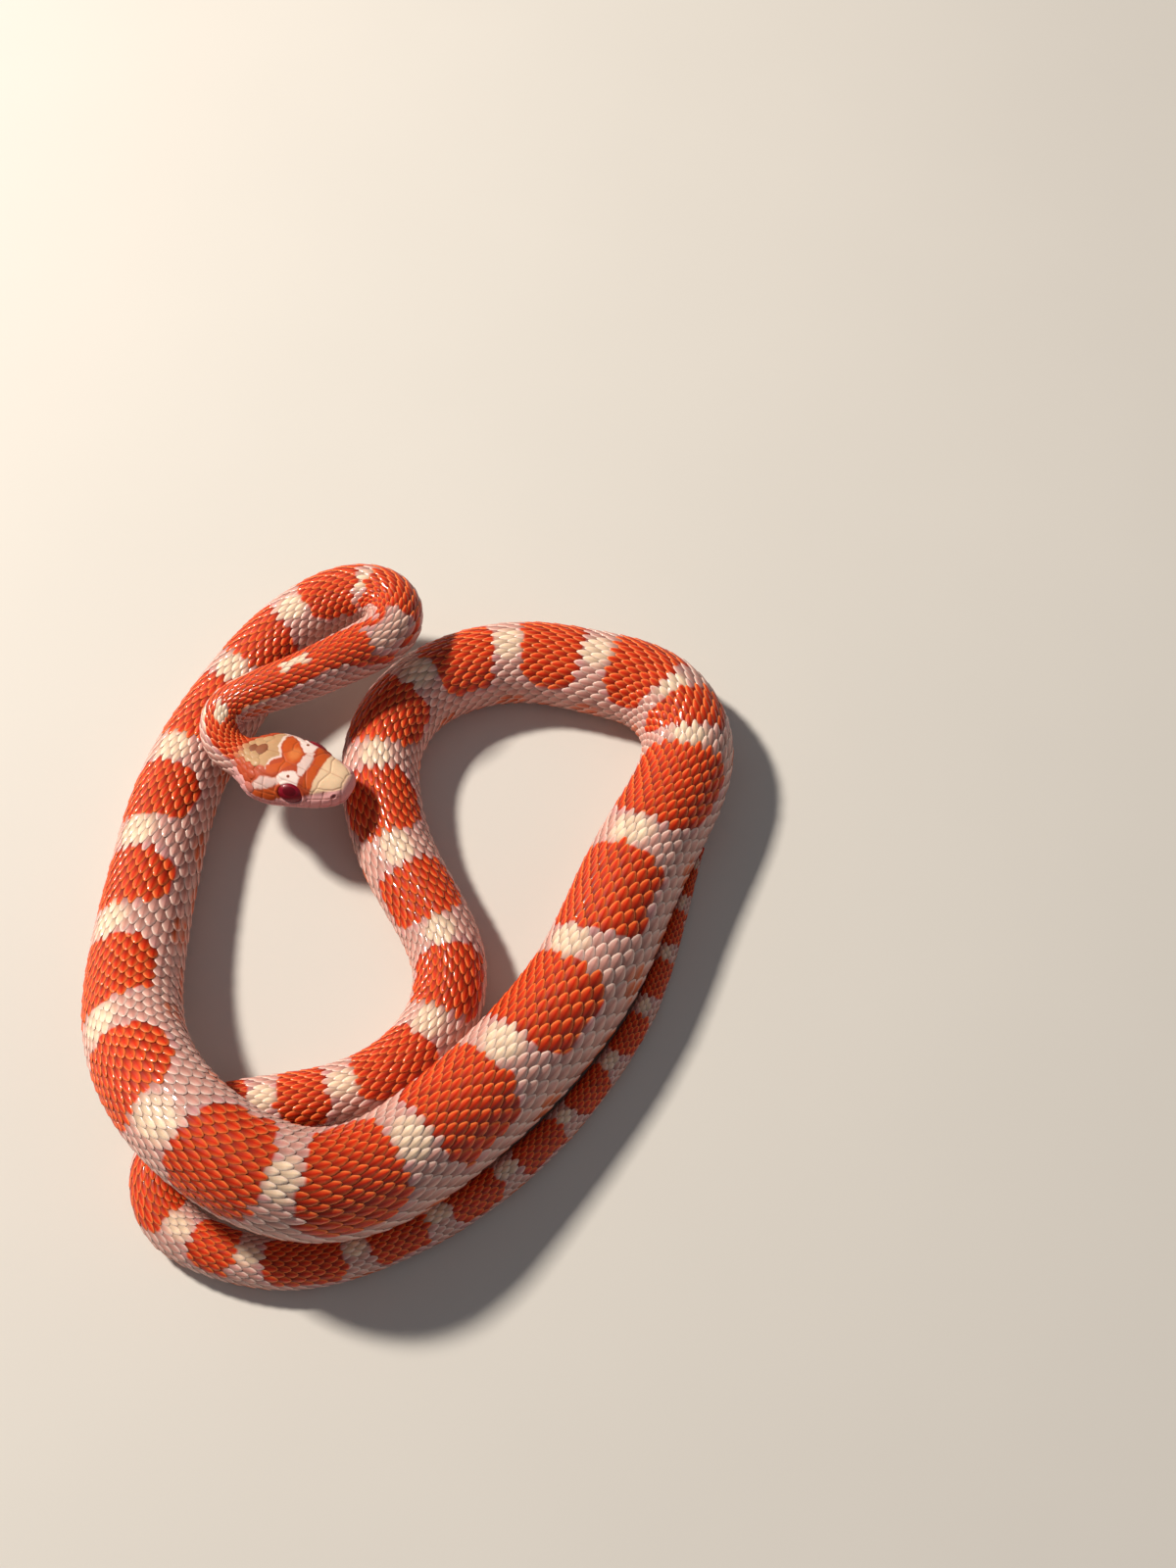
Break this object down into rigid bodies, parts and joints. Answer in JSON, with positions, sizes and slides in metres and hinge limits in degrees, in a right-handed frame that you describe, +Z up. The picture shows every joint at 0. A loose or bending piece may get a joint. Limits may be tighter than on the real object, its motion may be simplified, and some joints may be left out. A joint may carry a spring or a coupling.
{
  "type": "corn snake",
  "caption": "Corn snake resting in loose coils that cross over one another, head lifted on its own body, as a still life-size display model.",
  "frame": {"origin": "middle of the floor area that the animal covers, on the floor under its belly", "axes": "+Z up from the floor, +Y across the coils away from the viewer of the picture, along their longest extent, +X to that viewer's right"},
  "size_m": [0.1414, 0.1663, 0.0357],
  "materials": {
    "body_scales": "satin",
    "belly_scales": "satin",
    "head_scales": "satin",
    "eye": "gloss"
  },
  "bodies": {
    "root": {"head": "head_scales", "lower_jaw": "head_scales", "eye_left": "eye", "eye_right": "eye", "neck": "body_scales", "body_01": "body_scales", "body_02": "body_scales", "body_03": "body_scales", "body_04": "body_scales", "body_05": "body_scales", "body_06": "body_scales", "body_07": "body_scales", "body_08": "body_scales", "body_09": "body_scales", "body_10": "body_scales", "body_11": "body_scales", "tail_1": "body_scales", "tail_2": "body_scales", "tail_3": "body_scales"}
  },
  "joints": []
}
